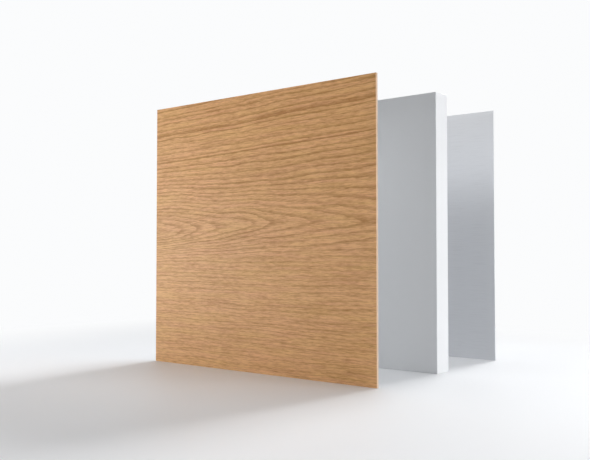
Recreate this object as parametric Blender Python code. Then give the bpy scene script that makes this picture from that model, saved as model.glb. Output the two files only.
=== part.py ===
"""Composite panel, opened out into its three layers: an oak-faced sheet, a thick white core board and a thin
metal back sheet. The layers have one width and one height, and stand upright on their bottom edges, one behind
the other, with a clear space between them.

Metres, +Z up. The origin is in the middle of the footprint, on the surface that the layers stand on. The width
runs along X, the oak face looks along -Y, and the metal sheet is at the +Y end.
"""

from collections import namedtuple

import bmesh
import bpy
from mathutils import Vector

# Outline that the three layers share
PANEL_WIDTH = 0.625
PANEL_HEIGHT = 0.600

# Thickness of each layer
FACE_THICKNESS = 0.006
CORE_THICKNESS = 0.050
BACK_THICKNESS = 0.002

# Clear space behind one layer, up to the next
FACE_TO_CORE_SPACE = 0.226
CORE_TO_BACK_SPACE = 0.232

# Width of the eased edge round each layer, and the facets that round it
FACE_ARRIS = 0.0005
CORE_ARRIS = 0.0010
BACK_ARRIS = 0.0003
ARRIS_SEGMENTS = 3

Finish = namedtuple("Finish", "colour roughness metallic")
Layer = namedtuple("Layer", "name thickness arris space_behind finish")

OAK = Finish(colour=(0.47, 0.27, 0.12), roughness=0.42, metallic=0.0)
WHITE_BOARD = Finish(colour=(0.83, 0.84, 0.85), roughness=0.60, metallic=0.0)
SATIN_METAL = Finish(colour=(0.72, 0.73, 0.75), roughness=0.32, metallic=1.0)

# The layers from front to back
LAYERS = (
    Layer("face_sheet", FACE_THICKNESS, FACE_ARRIS, FACE_TO_CORE_SPACE, OAK),
    Layer("core_board", CORE_THICKNESS, CORE_ARRIS, CORE_TO_BACK_SPACE, WHITE_BOARD),
    Layer("back_sheet", BACK_THICKNESS, BACK_ARRIS, 0.0, SATIN_METAL),
)


def clear_scene():
    for item in list(bpy.data.objects):
        bpy.data.objects.remove(item, do_unlink=True)


def make_material(name, finish):
    material = bpy.data.materials.new(name)
    material.use_nodes = True
    shader = material.node_tree.nodes["Principled BSDF"]
    shader.inputs["Base Color"].default_value = (*finish.colour, 1.0)
    shader.inputs["Roughness"].default_value = finish.roughness
    shader.inputs["Metallic"].default_value = finish.metallic
    return material


def make_slab_mesh(name, thickness):
    """One rectangular slab, with its front face at y = 0, its bottom edge at z = 0 and its width centred on x."""
    half_width = PANEL_WIDTH / 2
    outline = (
        Vector((-half_width, 0, 0)),
        Vector((half_width, 0, 0)),
        Vector((half_width, 0, PANEL_HEIGHT)),
        Vector((-half_width, 0, PANEL_HEIGHT)),
    )
    shape = bmesh.new()
    front = shape.faces.new([shape.verts.new(corner) for corner in outline])
    grown = bmesh.ops.extrude_face_region(shape, geom=[front])
    back_corners = [item for item in grown["geom"] if isinstance(item, bmesh.types.BMVert)]
    bmesh.ops.translate(shape, verts=back_corners, vec=Vector((0, thickness, 0)))
    bmesh.ops.recalc_face_normals(shape, faces=shape.faces)
    mesh = bpy.data.meshes.new(name)
    shape.to_mesh(mesh)
    shape.free()
    return mesh


def ease_edges(slab, arris):
    """Rounds every long edge and corner of the slab by the arris."""
    bevel = slab.modifiers.new("eased_edges", "BEVEL")
    bevel.width = arris
    bevel.segments = ARRIS_SEGMENTS
    bevel.harden_normals = True
    slab.data.shade_smooth()


def make_layer(layer, front_y):
    mesh = make_slab_mesh(layer.name, layer.thickness)
    mesh.materials.append(make_material(layer.name, layer.finish))
    slab = bpy.data.objects.new(layer.name, mesh)
    slab.location.y = front_y
    bpy.context.scene.collection.objects.link(slab)
    ease_edges(slab, layer.arris)


def main():
    clear_scene()
    depth = sum(layer.thickness + layer.space_behind for layer in LAYERS)
    front_y = -depth / 2
    for layer in LAYERS:
        make_layer(layer, front_y)
        front_y += layer.thickness + layer.space_behind


main()
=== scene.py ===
"""Looks of the composite panel: an oak-faced sheet, a white core board and a satin metal back sheet, standing
apart on a pale studio floor. Laid out as an add-on, with one operator for each layer and one for the stage.
Metres, +Z up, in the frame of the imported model.
"""

from math import radians

import bpy
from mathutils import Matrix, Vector


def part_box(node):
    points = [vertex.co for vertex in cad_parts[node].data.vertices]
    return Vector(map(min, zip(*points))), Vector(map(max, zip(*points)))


bl_info = {
    "name": "Composite Panel Finishes",
    "version": (1, 0, 0),
    "blender": (4, 5, 0),
    "location": "View3D > Sidebar > Panel",
    "description": "Finishes for a composite panel that stands opened out into its layers",
    "category": "Material",
}

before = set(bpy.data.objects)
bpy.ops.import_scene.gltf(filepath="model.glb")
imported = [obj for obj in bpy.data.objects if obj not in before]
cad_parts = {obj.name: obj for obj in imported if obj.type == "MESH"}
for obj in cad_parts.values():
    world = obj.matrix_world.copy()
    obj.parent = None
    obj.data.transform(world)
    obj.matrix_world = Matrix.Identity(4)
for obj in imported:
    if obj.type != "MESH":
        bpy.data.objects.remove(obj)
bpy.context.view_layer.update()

FACE = "face_sheet"
CORE = "core_board"
BACK = "back_sheet"
FACE_LOW, FACE_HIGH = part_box(FACE)
BACK_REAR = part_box(BACK)[1].y
PANEL_WIDTH = FACE_HIGH.x - FACE_LOW.x
PANEL_HEIGHT = FACE_HIGH.z - FACE_LOW.z

# Names of the shared node groups
STREAKS = "streaks_along_x"
MOTTLE = "cloudy_mottle"
OAK = "flat_sawn_oak"

# Noise level above which a streak shows, with no streaks asked for and with the most, and its soft edge
STREAK_LEVELS = (0.72, 0.38)
STREAK_SOFTNESS = 0.12

# Distance of each arch's tip from the panel's left edge, along the oak's heart line
ARCH_TIPS = (0.002, 0.081, 0.134, 0.198, 0.305, 0.356, 0.458, 0.584)

# How many arches make one unit of the curve that places their tips
TIP_SCALE = 10.0

# Half height of the blunt nose of an arch
NOSE = 0.010

# Bends of the rings: features per metre along the grain, the same across it, and their whole swing
DRIFT = (3.5, 8.0, 0.020)
WAVES = (10.0, 55.0, 0.006)
RIPPLE = (35.0, 330.0, 0.0025)

# Four numbers are a range: where a change starts and ends, then the values there. The heart line runs lower
# towards the left, by place across the panel, and the rings follow it by their distance from that line
DIP_BY_PLACE = (-0.13, 0.01, 1.0, 0.0)
DIP_BY_DISTANCE = (0.02, 0.11, 0.008, 0.0)

# The band about the heart line in which the rings below it turn into those above it
TURNOVER = (-0.02, 0.02, 0.0, 1.0)

# Values below the heart line and above it: rings per metre next to the line, half of what each metre adds to
# that, how far the arches reach from the line, and the ring at which the lines beyond the arches carry on
RING_DENSITY = (88.0, 66.0)
CROWDING = (120.0, 50.0)
ARCH_REACH = (0.072, 0.098)
FIRST_LINE = (5.4, 6.4)

# Rings crossed per metre to the right, and per metre squared from the middle, by height over the heart line
CLIMB = (0.08, 0.20, -0.6, -3.6)
SAG = (0.10, 0.22, -5.3, 0.0)

# Keeps the count of the rings above 0
RING_START = 20.0

# Unequal rings: changes of width per ring, and how many rings they stray, by distance from the heart line
UNEVEN_PACE = 0.9
UNEVEN_BY_REACH = (0.03, 0.10, 0.0, 0.9)

# Frayed rings: features per metre along the grain and across it, and how many rings deep the fraying is, in
# lines and in arches
FRAY = (50.0, 300.0)
FRAY_DEPTH = (0.25, 0.40)

# A ring's dark edge: the parts of its width at which it is full and gone, and its least strength, in lines
# and in arches
EDGE_FULL = 0.08
EDGE_GONE = 0.58
LEAST_STRENGTH = (0.45, 0.60)

# Patches, per metre along the grain and across it, in which the dark edges are weaker or stronger
PATCHES = (5.0, 60.0)
PATCH_STRENGTH = (-0.25, 0.25, 0.80, 1.15)

# Strength of the dark edges by height over the heart line
BOLD_ABOVE = (0.05, 0.14, 0.74, 1.0)
BOLD_BELOW = (-0.09, -0.03, 0.68, 1.0)

# Tone of the timber, from 0, pale, to 1, dark: where it starts, and what a ring's dark edge adds
BASE_TONE = 0.275
BAND_TONE = 0.90

# Fibres in the tone: features per metre along the grain and across it, their whole swing, and how rough their
# noise is where that isn't 0.5
FLOW = (6.0, 30.0, 0.15)
FIBRE = (15.0, 230.0, 1.05, 0.6)
FINE_FIBRE = (55.0, 480.0, 1.60, 0.6)

# Pores in the oak, how well they show by the timber's tone, how strongly they colour it, and the depth of the
# ticks against the dashes
DASHES = {"Length": 0.014, "Thickness": 0.0014, "Amount": 0.42}
DASHES_BY_TONE = (0.1, 0.8, 0.35, 1.0)
DASH_COLOUR = 0.36
TICKS = {"Length": 0.006, "Thickness": 0.0006, "Amount": 0.40}
TICKS_BY_TONE = (0.1, 0.8, 0.40, 1.0)
TICK_COLOUR = 0.38
TICK_DEPTH = 0.7

# Width of the slow clouds over the oak, and the range of their shade
OAK_CLOUD = 0.12
OAK_SHADES = (0.93, 1.07)

# Streaks, per metre along the grain and across it, that drift between two factors on the timber's colour
CAST_STREAKS = (9.0, 110.0)
CAST_RANGE = (-0.2, 0.2, 0.0, 1.0)
ROSY_CAST = (1.018, 0.990, 1.045, 1.0)
OLIVE_CAST = (0.985, 1.006, 0.915, 1.0)

# Depth in from the face sheet's rear at which its liner starts, and at which it is full
LINER_STARTS = 0.0006
LINER_FULL = 0.0003

# The face sheet's pale rim, by distance past its sides and ends, so less than 0 inside the sheet
RIM_RANGE = (-0.0004, -0.0002, 0.0, 0.75)

# Roughness that pores and the liner add, and the depth and strength of the pores' relief
PORE_ROUGHNESS = 0.25
LINER_ROUGHNESS = 0.25
PORE_RELIEF = (0.0002, 0.6)

# The core board: width and shade of its clouds, the roughness of its cells, and their depth and strength
BOARD_CLOUD = 0.15
BOARD_SHADES = (0.2, 0.8, 0.97, 1.0)
CELL_ROUGHNESS = (0.50, 0.70)
CELL_RELIEF = (0.0001, 0.5)

# The metal: its rolling lines and their shade, the width of the clouds in its roughness, the roughness that
# clouds and lines add, and the lines' depth and strength
LINE_THICKNESS = 0.0005
LINE_AMOUNT = 0.5
LINE_SHADES = (1.0, 0.93)
METAL_CLOUD = 0.20
CLOUD_ROUGHNESS = 0.04
LINE_ROUGHNESS = 0.04
LINE_RELIEF = (0.00002, 0.5)

# Bare metal mirrors a little less at a flat angle than the shader does by itself
METAL_TINT = (0.86, 0.86, 0.86, 1.0)

# The room is dimmer in front of the panel, but not far to the left, by the direction's parts along Y and X
DIM_TO_FRONT = (0.0, -0.6, 0.0, 1.0)
DIM_TO_LEFT = (-0.40, -0.78, 1.0, 0.0)

# Half the floor's width, the strip of it that takes the panel's shadow, and the distance past that strip
# over which it turns into the room's tone
FLOOR_HALF = 40.0
SHADOW_LEFT = -0.55
SHADOW_RIGHT = 0.60
SHADOW_FRONT = -1.90
FLOOR_FADE = (0.05, 0.80, 0.0, 1.0)

# The sun: the direction that its rays travel in, its strength, and its width in the sky
SUN_TRAVEL = (0.0, -0.809, -0.588)
SUN_STRENGTH = 1.90
SUN_WIDTH = radians(18.0)

# Soft square lamps: name, place, the point that they face, width, and power in watts
LAMPS = (
    ("window_on_the_right", (2.6, 0.2, 1.2), (0.0, 0.0, 0.3), 1.6, 10.0),
    ("low_window_behind", (2.0, 0.6, 0.15), (0.3, 0.14, 0.05), 0.4, 17.0),
    ("overhead", (0.0, 0.0, 2.8), (0.0, 0.0, 0.0), 2.0, 35.0),
    ("wide_fill_on_the_left", (-2.2, -1.0, 0.5), (-0.2, -0.26, 0.2), 1.0, 10.5),
    ("low_fill_on_the_left", (-1.9, -1.9, 0.25), (-0.2, -0.26, 0.2), 0.5, 18.5),
    ("low_fill_in_front", (-1.3, -2.6, 0.22), (-0.1, -0.26, 0.2), 0.4, 5.5),
    ("fill_in_front", (-0.4, -2.4, 0.35), (-0.1, -0.26, 0.15), 0.8, 5.5),
)

# Width of the camera's sensor in millimetres
SENSOR_WIDTH = 36.0

# Kinds of node group socket
FLOAT = "NodeSocketFloat"
VECTOR = "NodeSocketVector"
COLOUR = "NodeSocketColor"


class NodeSketch:
    """Adds nodes to one node tree and joins them up."""

    def __init__(self, tree):
        self.tree = tree

    def feed(self, socket, value):
        """Joins an output to the socket, or sets the socket to a plain value."""
        if isinstance(value, bpy.types.NodeSocket):
            self.tree.links.new(value, socket)
        else:
            socket.default_value = value

    def node(self, kind, inputs=None, **settings):
        made = self.tree.nodes.new(kind)
        for name, value in settings.items():
            setattr(made, name, value)
        for socket, value in (inputs or {}).items():
            self.feed(made.inputs[socket], value)
        return made

    def math(self, operation, *values):
        return self.node("ShaderNodeMath", dict(enumerate(values)), operation=operation).outputs[0]

    def total(self, first, *others):
        for value in others:
            first = self.math("ADD", first, value)
        return first

    def product(self, first, *others):
        for value in others:
            first = self.math("MULTIPLY", first, value)
        return first

    def vector(self, operation, *values):
        made = self.node("ShaderNodeVectorMath", dict(enumerate(values)), operation=operation)
        return made.outputs["Vector"]

    def split(self, vector):
        made = self.node("ShaderNodeSeparateXYZ", {"Vector": vector})
        return made.outputs["X"], made.outputs["Y"], made.outputs["Z"]

    def join(self, x, y, z):
        return self.node("ShaderNodeCombineXYZ", {"X": x, "Y": y, "Z": z}).outputs["Vector"]

    def remap(self, value, low, high, new_low, new_high, kind="SMOOTHSTEP"):
        """The value moved from one range to another, eased at both ends unless the kind is LINEAR."""
        inputs = {"Value": value, "From Min": low, "From Max": high, "To Min": new_low, "To Max": new_high}
        return self.node("ShaderNodeMapRange", inputs, interpolation_type=kind).outputs["Result"]

    def ramp(self, value, first, last):
        """An even run from the first number to the last, while the value goes from 0 to 1."""
        return self.remap(value, 0.0, 1.0, first, last, "LINEAR")

    def blend(self, factor, first, second):
        """The first number at factor 0, and the second at 1."""
        inputs = {"Factor": factor, "A": first, "B": second}
        return self.node("ShaderNodeMix", inputs, data_type="FLOAT").outputs["Result"]

    def noise(self, vector, detail=2.0, roughness=0.5):
        """Noise round 0.5, with about one feature to each unit."""
        inputs = {"Vector": vector, "Scale": 1.0, "Detail": detail, "Roughness": roughness}
        return self.node("ShaderNodeTexNoise", inputs, noise_dimensions="3D").outputs["Fac"]

    def noise_along(self, value):
        """Noise round 0.5 that changes with one number, about once for each whole step."""
        inputs = {"W": value, "Scale": 1.0, "Detail": 1.0}
        return self.node("ShaderNodeTexNoise", inputs, noise_dimensions="1D").outputs["Fac"]

    def centred(self, noise):
        """Noise moved from round 0.5 to round 0."""
        return self.math("SUBTRACT", noise, 0.5)

    def random(self, value):
        """A steady random number from 0 to 1 for each whole value."""
        return self.node("ShaderNodeTexWhiteNoise", {"W": value}, noise_dimensions="1D").outputs["Value"]

    def mix(self, factor, first, second, blend="MIX"):
        """Two colours mixed, or multiplied when the blend is MULTIPLY."""
        made = self.node("ShaderNodeMix", data_type="RGBA", blend_type=blend)
        self.feed(made.inputs["Factor"], factor)
        self.feed(made.inputs[6], first)
        self.feed(made.inputs[7], second)
        return made.outputs[2]

    def shade(self, colour, amount):
        """The colour made darker or lighter by a factor that changes over the surface."""
        grey = self.node("ShaderNodeCombineColor", {"Red": amount, "Green": amount, "Blue": amount})
        return self.mix(1.0, colour, grey.outputs["Color"], "MULTIPLY")

    def relief(self, height, distance, strength):
        """Normals of a surface that stands up by the distance where the height is 1."""
        inputs = {"Height": height, "Distance": distance, "Strength": strength}
        return self.node("ShaderNodeBump", inputs).outputs["Normal"]

    def group(self, tree, **inputs):
        made = self.node("ShaderNodeGroup", node_tree=tree)
        for name, value in inputs.items():
            self.feed(made.inputs[name.replace("_", " ")], value)
        return made.outputs


def opaque(colour):
    """The colour with an alpha of 1, as nodes take it."""
    return (*colour, 1.0)


def new_group(name, inputs, outputs):
    """A shader node group with named sockets, and the sketch that fills it."""
    tree = bpy.data.node_groups.new(name, "ShaderNodeTree")
    for title, (kind, default) in inputs.items():
        socket = tree.interface.new_socket(title, in_out="INPUT", socket_type=kind)
        if default is not None:
            socket.default_value = default
    for title, kind in outputs.items():
        tree.interface.new_socket(title, in_out="OUTPUT", socket_type=kind)
    sketch = NodeSketch(tree)
    source = sketch.node("NodeGroupInput").outputs
    return tree, sketch, source


def shared(name, make):
    """The node group of that name, made on first use."""
    return bpy.data.node_groups.get(name) or make()


def streaks_group():
    """Thin streaks that run along X: pores in timber, rolling lines in metal."""
    tree, sketch, source = new_group(
        STREAKS,
        {
            "Vector": (VECTOR, None),
            "Length": (FLOAT, 0.02),
            "Thickness": (FLOAT, 0.001),
            "Amount": (FLOAT, 0.5),
        },
        {"Mask": FLOAT},
    )
    x, y, z = sketch.split(source["Vector"])
    stretched = sketch.join(
        sketch.math("DIVIDE", x, source["Length"]),
        sketch.math("DIVIDE", y, source["Thickness"]),
        sketch.math("DIVIDE", z, source["Thickness"]),
    )
    noise = sketch.noise(stretched, detail=1.0)
    threshold = sketch.ramp(source["Amount"], *STREAK_LEVELS)
    mask = sketch.remap(noise, threshold, sketch.total(threshold, STREAK_SOFTNESS), 0.0, 1.0)
    sketch.node("NodeGroupOutput", {"Mask": mask})
    return tree


def mottle_group():
    """Slow cloudy variation over a surface, round 0.5."""
    inputs = {"Vector": (VECTOR, None), "Size": (FLOAT, 0.1)}
    tree, sketch, source = new_group(MOTTLE, inputs, {"Mask": FLOAT})
    size = source["Size"]
    spread = sketch.vector("DIVIDE", source["Vector"], sketch.join(size, size, size))
    sketch.node("NodeGroupOutput", {"Mask": sketch.noise(spread, detail=3.0, roughness=0.55)})
    return tree


def stretched_noise(sketch, point, along, across, roughness=0.5):
    """Noise from -0.5 to 0.5, drawn out along X: along and across are its features per metre."""
    place = sketch.vector("MULTIPLY", point, (along, across, across))
    return sketch.centred(sketch.noise(place, roughness=roughness))


def swing(sketch, point, along, across, amount, roughness=0.5):
    """Stretched noise whose whole range is the amount."""
    return sketch.product(stretched_noise(sketch, point, along, across, roughness), amount)


def tips_curve(sketch, x):
    """How many rings the heart line has crossed at x, counted from the panel's left edge. Each arch has its
    tip where this passes a whole number."""
    curve = sketch.node("ShaderNodeFloatCurve")
    across = sketch.total(sketch.math("DIVIDE", x, PANEL_WIDTH), 0.5)
    sketch.feed(curve.inputs["Value"], across)
    points = curve.mapping.curves[0].points
    for number, tip in enumerate(ARCH_TIPS):
        place = (tip / PANEL_WIDTH, number / TIP_SCALE)
        # The curve comes with its first two points
        if number < 2:
            points[number].location = place
        else:
            points.new(*place)
    curve.mapping.extend = "EXTRAPOLATED"
    curve.mapping.use_clip = False
    curve.mapping.update()
    return sketch.product(curve.outputs["Value"], TIP_SCALE)


def count_rings(sketch, point, heart_height):
    """Growth rings counted outward from the log's heart, as a number that rises by 1 over each ring. With it
    come the height over the heart line, and a mask that is 1 at that line and 0 past the arches."""
    x, _, z = sketch.split(point)
    height = sketch.math("SUBTRACT", z, heart_height)
    follows = sketch.remap(sketch.math("ABSOLUTE", height), *DIP_BY_DISTANCE)
    dip = sketch.product(sketch.remap(x, *DIP_BY_PLACE), follows)
    bends = [swing(sketch, point, *bend) for bend in (DRIFT, WAVES, RIPPLE)]
    rise = sketch.total(height, dip, *bends)

    # A blunt nose: near the heart line the distance from it grows slowly at first
    rounded = sketch.math("SQRT", sketch.total(sketch.product(rise, rise), NOSE ** 2))
    reach = sketch.math("SUBTRACT", rounded, NOSE)
    over = sketch.remap(rise, *TURNOVER)

    # Rings outward from the heart line crowd together with distance, the more so below it
    crowding = sketch.product(reach, sketch.ramp(over, *CROWDING))
    outward = sketch.product(reach, sketch.total(sketch.ramp(over, *RING_DENSITY), crowding))

    # Arches along the heart line give way to lines that sag a little, then climb to the right higher up
    heart = sketch.remap(reach, 0.0, sketch.ramp(over, *ARCH_REACH), 1.0, 0.0)
    climb = sketch.product(x, sketch.remap(rise, *CLIMB))
    sag = sketch.product(x, x, sketch.remap(rise, *SAG))
    lines = sketch.product(sketch.total(climb, sag), over)
    beyond = sketch.total(lines, sketch.ramp(over, *FIRST_LINE))
    lengthwise = sketch.blend(heart, beyond, tips_curve(sketch, x))

    # Rings are of unequal width and frayed, the arches the more so
    count = sketch.total(outward, lengthwise, RING_START)
    uneven = sketch.centred(sketch.noise_along(sketch.product(count, UNEVEN_PACE)))
    unequal = sketch.product(uneven, sketch.remap(reach, *UNEVEN_BY_REACH))
    fray = sketch.product(stretched_noise(sketch, point, *FRAY), sketch.blend(heart, *FRAY_DEPTH))
    return sketch.total(count, unequal, fray), rise, heart


def oak_group():
    """Flat-sawn oak with its grain along X. Rings nest in pointed arches along the heart line, run broad and
    a little uphill above it, and fine and level below it."""
    streaks = shared(STREAKS, streaks_group)
    mottle = shared(MOTTLE, mottle_group)
    tree, sketch, source = new_group(
        OAK,
        {
            "Vector": (VECTOR, None),
            "Heart Height": (FLOAT, 0.32),
            "Latewood": (COLOUR, (0.66, 0.39, 0.20, 1.0)),
            "Earlywood": (COLOUR, (0.42, 0.22, 0.09, 1.0)),
            "Pore": (COLOUR, (0.30, 0.15, 0.06, 1.0)),
        },
        {"Color": COLOUR, "Pores": FLOAT},
    )
    point = source["Vector"]
    count, rise, heart = count_rings(sketch, point, source["Heart Height"])

    # Each ring starts with a sharp dark edge and fades outward
    ring = sketch.math("FLOOR", count)
    part = sketch.math("SUBTRACT", count, ring)
    strength = sketch.ramp(sketch.random(ring), sketch.blend(heart, *LEAST_STRENGTH), 1.0)
    onset = sketch.remap(part, 0.0, EDGE_FULL, 0.0, 1.0)
    fade = sketch.remap(part, EDGE_FULL, EDGE_GONE, 1.0, 0.0)
    patchy = sketch.remap(stretched_noise(sketch, point, *PATCHES), *PATCH_STRENGTH, "LINEAR")
    # Boldest high above the heart line, and faintest well below it
    bold = sketch.product(sketch.remap(rise, *BOLD_ABOVE), sketch.remap(rise, *BOLD_BELOW))
    band = sketch.product(onset, fade, strength, patchy, bold)

    fibres = [swing(sketch, point, *kind) for kind in (FLOW, FIBRE, FINE_FIBRE)]
    tone = sketch.total(BASE_TONE, sketch.product(band, BAND_TONE), *fibres)
    tone = sketch.math("MINIMUM", sketch.math("MAXIMUM", tone, 0.0), 1.0)

    # Pores show best where the timber is dark
    dashes = sketch.group(streaks, Vector=point, **DASHES)["Mask"]
    dashes = sketch.product(dashes, sketch.remap(tone, *DASHES_BY_TONE, "LINEAR"))
    ticks = sketch.group(streaks, Vector=point, **TICKS)["Mask"]
    ticks = sketch.product(ticks, sketch.remap(tone, *TICKS_BY_TONE, "LINEAR"))
    timber = sketch.mix(tone, source["Latewood"], source["Earlywood"])
    timber = sketch.mix(sketch.product(dashes, DASH_COLOUR), timber, source["Pore"])
    timber = sketch.mix(sketch.product(ticks, TICK_COLOUR), timber, source["Pore"])
    cloud = sketch.group(mottle, Vector=point, Size=OAK_CLOUD)["Mask"]
    timber = sketch.shade(timber, sketch.ramp(cloud, *OAK_SHADES))

    # Streaks drift between a rosy and an olive cast
    cast = sketch.remap(stretched_noise(sketch, point, *CAST_STREAKS), *CAST_RANGE, "LINEAR")
    timber = sketch.mix(1.0, timber, sketch.mix(cast, ROSY_CAST, OLIVE_CAST), "MULTIPLY")
    pores = sketch.math("MAXIMUM", dashes, sketch.product(ticks, TICK_DEPTH))
    sketch.node("NodeGroupOutput", {"Color": timber, "Pores": pores})
    return tree


def new_material(name, **shader_values):
    """A material with one Principled BSDF, and the sketch that fills it."""
    material = bpy.data.materials.new(name)
    material.use_nodes = True
    sketch = NodeSketch(material.node_tree)
    shader = material.node_tree.nodes["Principled BSDF"]
    for title, value in shader_values.items():
        shader.inputs[title.replace("_", " ")].default_value = value
    where = sketch.node("ShaderNodeTexCoord").outputs["Object"]
    return material, sketch, shader, where


def dress(node, material):
    """Gives a CAD node its finish."""
    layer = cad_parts[node]
    layer.data.materials.clear()
    layer.data.materials.append(material)


class OakFinish(bpy.types.PropertyGroup):
    latewood: bpy.props.FloatVectorProperty(
        name="Latewood", description="Colour of the pale wood between the rings", subtype="COLOR", size=3,
        min=0.0, max=1.0, default=(0.728, 0.414, 0.190))
    earlywood: bpy.props.FloatVectorProperty(
        name="Earlywood", description="Colour of the dark porous bands", subtype="COLOR", size=3,
        min=0.0, max=1.0, default=(0.420, 0.204, 0.067))
    pore: bpy.props.FloatVectorProperty(
        name="Pores", description="Colour inside the open pores", subtype="COLOR", size=3,
        min=0.0, max=1.0, default=(0.286, 0.138, 0.055))
    heart_height: bpy.props.FloatProperty(
        name="Heart Height", description="Height of the line that the arches point along", default=0.318,
        min=0.0, unit="LENGTH")
    smoothest: bpy.props.FloatProperty(
        name="Smoothest", description="Roughness of the lacquer between the pores", default=0.40,
        min=0.0, max=1.0)
    rim: bpy.props.FloatVectorProperty(
        name="Rim", description="Pale colour towards which the sheet's cut edges turn", subtype="COLOR",
        size=3, min=0.0, max=1.0, default=(0.84, 0.63, 0.47))
    liner: bpy.props.FloatVectorProperty(
        name="Liner", description="Colour of the plain liner on the sheet's back", subtype="COLOR", size=3,
        min=0.0, max=1.0, default=(0.74, 0.75, 0.76))


class BoardFinish(bpy.types.PropertyGroup):
    colour: bpy.props.FloatVectorProperty(
        name="Colour", description="Colour of the white board", subtype="COLOR", size=3,
        min=0.0, max=1.0, default=(0.845, 0.856, 0.871))
    cell_size: bpy.props.FloatProperty(
        name="Cell Size", description="Width of the fine cells in the board's skin", default=0.0012,
        min=0.0001, unit="LENGTH")


class MetalFinish(bpy.types.PropertyGroup):
    colour: bpy.props.FloatVectorProperty(
        name="Colour", description="Colour of the bare metal", subtype="COLOR", size=3,
        min=0.0, max=1.0, default=(0.72, 0.73, 0.75))
    roughness: bpy.props.FloatProperty(
        name="Roughness", description="Roughness of the satin surface", default=0.38, min=0.0, max=1.0)
    line_length: bpy.props.FloatProperty(
        name="Line Length", description="Length of the fine rolling lines", default=0.060, min=0.001,
        unit="LENGTH")


class StudioStage(bpy.types.PropertyGroup):
    camera_place: bpy.props.FloatVectorProperty(
        name="Camera Place", description="Where the camera stands", subtype="TRANSLATION", unit="LENGTH",
        size=3, default=(1.1406, -1.5245, 0.2513))
    camera_turn: bpy.props.FloatProperty(
        name="Camera Turn", description="How far the camera turns left from looking along +Y",
        unit="ROTATION", default=radians(39.03))
    camera_tilt: bpy.props.FloatProperty(
        name="Camera Tilt", description="How far the camera tips up", unit="ROTATION", default=radians(1.81))
    lens: bpy.props.FloatProperty(
        name="Lens", description="Focal length in millimetres on a 36 mm wide sensor", default=48.47, min=1.0)
    backdrop: bpy.props.FloatVectorProperty(
        name="Backdrop", description="Colour of the room behind the panel", subtype="COLOR", size=3,
        min=0.0, max=1.0, default=(0.965, 0.972, 0.980))
    dim_end: bpy.props.FloatVectorProperty(
        name="Dim End", description="Colour of the end of the room that the panel's front reflects",
        subtype="COLOR", size=3, min=0.0, max=1.0, default=(0.72, 0.725, 0.735))
    floor: bpy.props.FloatVectorProperty(
        name="Floor", description="Colour of the floor", subtype="COLOR", size=3,
        min=0.0, max=1.0, default=(0.876, 0.890, 0.911))
    ambient: bpy.props.FloatProperty(
        name="Ambient", description="Strength of the even light from all round", default=0.0, min=0.0)


class PanelLooks(bpy.types.PropertyGroup):
    oak: bpy.props.PointerProperty(type=OakFinish)
    board: bpy.props.PointerProperty(type=BoardFinish)
    metal: bpy.props.PointerProperty(type=MetalFinish)
    stage: bpy.props.PointerProperty(type=StudioStage)


class PANEL_OT_oak_face(bpy.types.Operator):
    """Give the face sheet its lacquered, flat-sawn oak"""
    bl_idname = "panel_looks.oak_face"
    bl_label = "Oak Face Sheet"

    def execute(self, context):
        finish = context.scene.panel_looks.oak
        oak = shared(OAK, oak_group)
        material, sketch, shader, where = new_material("lacquered_oak", Specular_IOR_Level=0.15)
        timber = sketch.group(
            oak, Vector=where, Heart_Height=finish.heart_height, Latewood=opaque(finish.latewood),
            Earlywood=opaque(finish.earlywood), Pore=opaque(finish.pore))
        across, depth, height = sketch.split(where)
        liner_starts = FACE_HIGH.y - LINER_STARTS
        rear = sketch.remap(depth, liner_starts, FACE_HIGH.y - LINER_FULL, 0.0, 1.0, "LINEAR")

        # The sheet's four edges are paler than its face, and the grain still shows in them
        past_side = sketch.math("SUBTRACT", sketch.math("ABSOLUTE", across), PANEL_WIDTH / 2)
        off_middle = sketch.math("ABSOLUTE", sketch.math("SUBTRACT", height, PANEL_HEIGHT / 2))
        past_end = sketch.math("SUBTRACT", off_middle, PANEL_HEIGHT / 2)
        rim = sketch.remap(sketch.math("MAXIMUM", past_side, past_end), *RIM_RANGE, "LINEAR")
        front = sketch.mix(rim, timber["Color"], opaque(finish.rim))
        sketch.feed(shader.inputs["Base Color"], sketch.mix(rear, front, opaque(finish.liner)))

        rough = sketch.ramp(timber["Pores"], finish.smoothest, finish.smoothest + PORE_ROUGHNESS)
        rough = sketch.total(rough, sketch.product(rear, LINER_ROUGHNESS))
        sketch.feed(shader.inputs["Roughness"], rough)
        grain = sketch.product(timber["Pores"], -1.0)
        sketch.feed(shader.inputs["Normal"], sketch.relief(grain, *PORE_RELIEF))
        dress(FACE, material)
        return {"FINISHED"}


class PANEL_OT_core_board(bpy.types.Operator):
    """Give the core board its matt white skin"""
    bl_idname = "panel_looks.core_board"
    bl_label = "White Core Board"

    def execute(self, context):
        finish = context.scene.panel_looks.board
        mottle = shared(MOTTLE, mottle_group)
        material, sketch, shader, where = new_material("white_board")
        cloud = sketch.group(mottle, Vector=where, Size=BOARD_CLOUD)["Mask"]
        cells = sketch.group(mottle, Vector=where, Size=finish.cell_size)["Mask"]
        skin = sketch.shade(opaque(finish.colour), sketch.remap(cloud, *BOARD_SHADES, "LINEAR"))
        sketch.feed(shader.inputs["Base Color"], skin)
        sketch.feed(shader.inputs["Roughness"], sketch.ramp(cells, *CELL_ROUGHNESS))
        sketch.feed(shader.inputs["Normal"], sketch.relief(cells, *CELL_RELIEF))
        dress(CORE, material)
        return {"FINISHED"}


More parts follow.
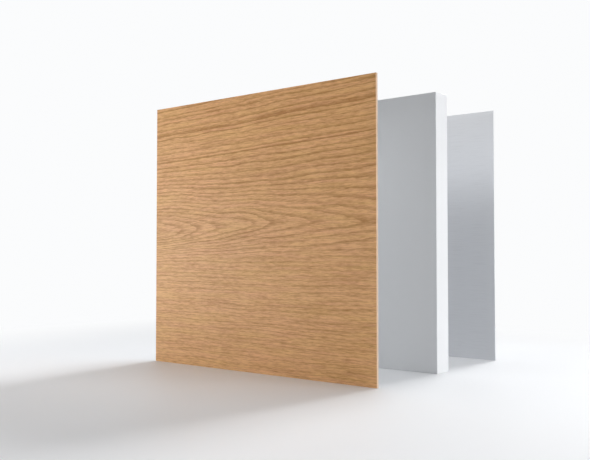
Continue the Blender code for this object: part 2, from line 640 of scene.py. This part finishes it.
class PANEL_OT_back_sheet(bpy.types.Operator):
    """Give the back sheet its satin rolled metal"""
    bl_idname = "panel_looks.back_sheet"
    bl_label = "Metal Back Sheet"

    def execute(self, context):
        finish = context.scene.panel_looks.metal
        streaks = shared(STREAKS, streaks_group)
        mottle = shared(MOTTLE, mottle_group)
        material, sketch, shader, where = new_material("satin_metal", Metallic=1.0, Specular_Tint=METAL_TINT)
        lines = sketch.group(
            streaks, Vector=where, Length=finish.line_length, Thickness=LINE_THICKNESS,
            Amount=LINE_AMOUNT)["Mask"]
        cloud = sketch.group(mottle, Vector=where, Size=METAL_CLOUD)["Mask"]
        metal = sketch.shade(opaque(finish.colour), sketch.ramp(lines, *LINE_SHADES))
        sketch.feed(shader.inputs["Base Color"], metal)
        smoothest = finish.roughness - CLOUD_ROUGHNESS
        rough = sketch.ramp(cloud, smoothest, finish.roughness + CLOUD_ROUGHNESS)
        rough = sketch.total(rough, sketch.product(lines, LINE_ROUGHNESS))
        sketch.feed(shader.inputs["Roughness"], rough)
        sketch.feed(shader.inputs["Normal"], sketch.relief(lines, *LINE_RELIEF))
        dress(BACK, material)
        return {"FINISHED"}


def add_area_light(name, place, aim, width, power):
    """A square soft light at place, pointed at aim. Power is in watts."""
    lamp = bpy.data.lights.new(name, "AREA")
    lamp.shape = "SQUARE"
    lamp.size = width
    lamp.energy = power
    holder = bpy.data.objects.new(name, lamp)
    holder.location = place
    holder.rotation_euler = (Vector(aim) - Vector(place)).to_track_quat("-Z", "Y").to_euler()
    bpy.context.scene.collection.objects.link(holder)


def add_sun(name, travel, strength, width):
    """A distant light whose rays travel along the given direction."""
    lamp = bpy.data.lights.new(name, "SUN")
    lamp.energy = strength
    lamp.angle = width
    holder = bpy.data.objects.new(name, lamp)
    holder.rotation_euler = Vector(travel).to_track_quat("-Z", "Y").to_euler()
    bpy.context.scene.collection.objects.link(holder)


def backdrop_is_seen(sketch):
    """1 for the rays that show the backdrop: the camera's own, and those that it sees by gloss or through
    glass."""
    path = sketch.node("ShaderNodeLightPath").outputs
    bounced = sketch.math("MAXIMUM", path["Is Glossy Ray"], path["Is Transmission Ray"])
    return sketch.math("MAXIMUM", path["Is Camera Ray"], bounced)


def room_tone(sketch, stage, direction):
    """Colour of the room in a direction: pale all round, and dimmer in front of the panel, short of the far
    left."""
    x, y, _ = sketch.split(direction)
    dimness = sketch.product(sketch.remap(y, *DIM_TO_FRONT), sketch.remap(x, *DIM_TO_LEFT))
    return sketch.mix(dimness, opaque(stage.backdrop), opaque(stage.dim_end))


def light_room(stage):
    """The room's own tone, for the rays that show it. All others meet an even white light, which is off
    unless its setting is raised."""
    world = bpy.data.worlds.new("studio")
    world.use_nodes = True
    world.node_tree.nodes.clear()
    sketch = NodeSketch(world.node_tree)
    seen = backdrop_is_seen(sketch)
    backdrop = room_tone(sketch, stage, sketch.node("ShaderNodeTexCoord").outputs["Generated"])
    lit = sketch.node("ShaderNodeBackground", {"Color": (1.0, 1.0, 1.0, 1.0), "Strength": stage.ambient})
    shown = sketch.node("ShaderNodeBackground", {"Color": backdrop, "Strength": 1.0})
    both = sketch.node("ShaderNodeMixShader", {0: seen, 1: lit.outputs[0], 2: shown.outputs[0]})
    sketch.node("ShaderNodeOutputWorld", {"Surface": both.outputs[0]})
    bpy.context.scene.world = world


def lay_floor(stage):
    """A wide pale floor that turns into the room's tone past the strip with the shadow, on every side."""
    mesh = bpy.data.meshes.new("floor")
    corners = [(x * FLOOR_HALF, y * FLOOR_HALF, 0) for x, y in ((-1, -1), (1, -1), (1, 1), (-1, 1))]
    mesh.from_pydata(corners, [], [(0, 1, 2, 3)])
    floor = bpy.data.objects.new("floor", mesh)
    bpy.context.scene.collection.objects.link(floor)
    material, sketch, shader, where = new_material(
        "pale_floor", Roughness=0.55, Base_Color=opaque(stage.floor))
    x, y, _ = sketch.split(where)
    past_left = sketch.math("SUBTRACT", SHADOW_LEFT, x)
    past_right = sketch.math("SUBTRACT", x, SHADOW_RIGHT)
    behind = sketch.math("SUBTRACT", y, BACK_REAR)
    in_front = sketch.math("SUBTRACT", SHADOW_FRONT, y)
    to_sides = sketch.math("MAXIMUM", past_left, past_right)
    away = sketch.math("MAXIMUM", to_sides, sketch.math("MAXIMUM", behind, in_front))
    fade = sketch.product(sketch.remap(away, *FLOOR_FADE), backdrop_is_seen(sketch))
    tone = room_tone(sketch, stage, sketch.vector("NORMALIZE", where))
    glow = sketch.node("ShaderNodeEmission", {"Color": tone, "Strength": 1.0})
    both = sketch.node("ShaderNodeMixShader", {0: fade, 1: shader.outputs[0], 2: glow.outputs[0]})
    output = material.node_tree.nodes["Material Output"]
    sketch.feed(output.inputs["Surface"], both.outputs[0])
    mesh.materials.append(material)


def place_camera(stage):
    """The camera that takes the main view."""
    lens = bpy.data.cameras.new("camera")
    lens.lens = stage.lens
    lens.sensor_width = SENSOR_WIDTH
    lens.sensor_fit = "HORIZONTAL"
    camera = bpy.data.objects.new("camera", lens)
    camera.location = stage.camera_place
    camera.rotation_euler = (radians(90.0) + stage.camera_tilt, 0.0, stage.camera_turn)
    bpy.context.scene.collection.objects.link(camera)
    bpy.context.scene.camera = camera


class PANEL_OT_studio_stage(bpy.types.Operator):
    """Lay the floor, light the room and set the camera"""
    bl_idname = "panel_looks.studio_stage"
    bl_label = "Studio Stage"

    def execute(self, context):
        stage = context.scene.panel_looks.stage
        light_room(stage)
        lay_floor(stage)
        add_sun("key_from_behind", SUN_TRAVEL, SUN_STRENGTH, SUN_WIDTH)
        for lamp in LAMPS:
            add_area_light(*lamp)
        place_camera(stage)
        context.scene.view_settings.view_transform = "Standard"
        return {"FINISHED"}


class PANEL_PT_looks(bpy.types.Panel):
    """Finishes of the composite panel"""
    bl_idname = "PANEL_PT_looks"
    bl_label = "Composite Panel"
    bl_space_type = "VIEW_3D"
    bl_region_type = "UI"
    bl_category = "Panel"

    def draw(self, context):
        looks = context.scene.panel_looks
        sections = (
            (looks.oak, PANEL_OT_oak_face),
            (looks.board, PANEL_OT_core_board),
            (looks.metal, PANEL_OT_back_sheet),
            (looks.stage, PANEL_OT_studio_stage),
        )
        for group, operator in sections:
            box = self.layout.box()
            for name in group.__annotations__:
                box.prop(group, name)
            box.operator(operator.bl_idname)


CLASSES = (
    OakFinish, BoardFinish, MetalFinish, StudioStage, PanelLooks,
    PANEL_OT_oak_face, PANEL_OT_core_board, PANEL_OT_back_sheet, PANEL_OT_studio_stage, PANEL_PT_looks,
)


def register():
    for item in CLASSES:
        bpy.utils.register_class(item)
    bpy.types.Scene.panel_looks = bpy.props.PointerProperty(type=PanelLooks)


def unregister():
    del bpy.types.Scene.panel_looks
    for item in reversed(CLASSES):
        bpy.utils.unregister_class(item)


def main():
    register()
    bpy.ops.panel_looks.oak_face()
    bpy.ops.panel_looks.core_board()
    bpy.ops.panel_looks.back_sheet()
    bpy.ops.panel_looks.studio_stage()


if __name__ == "__main__":
    main()
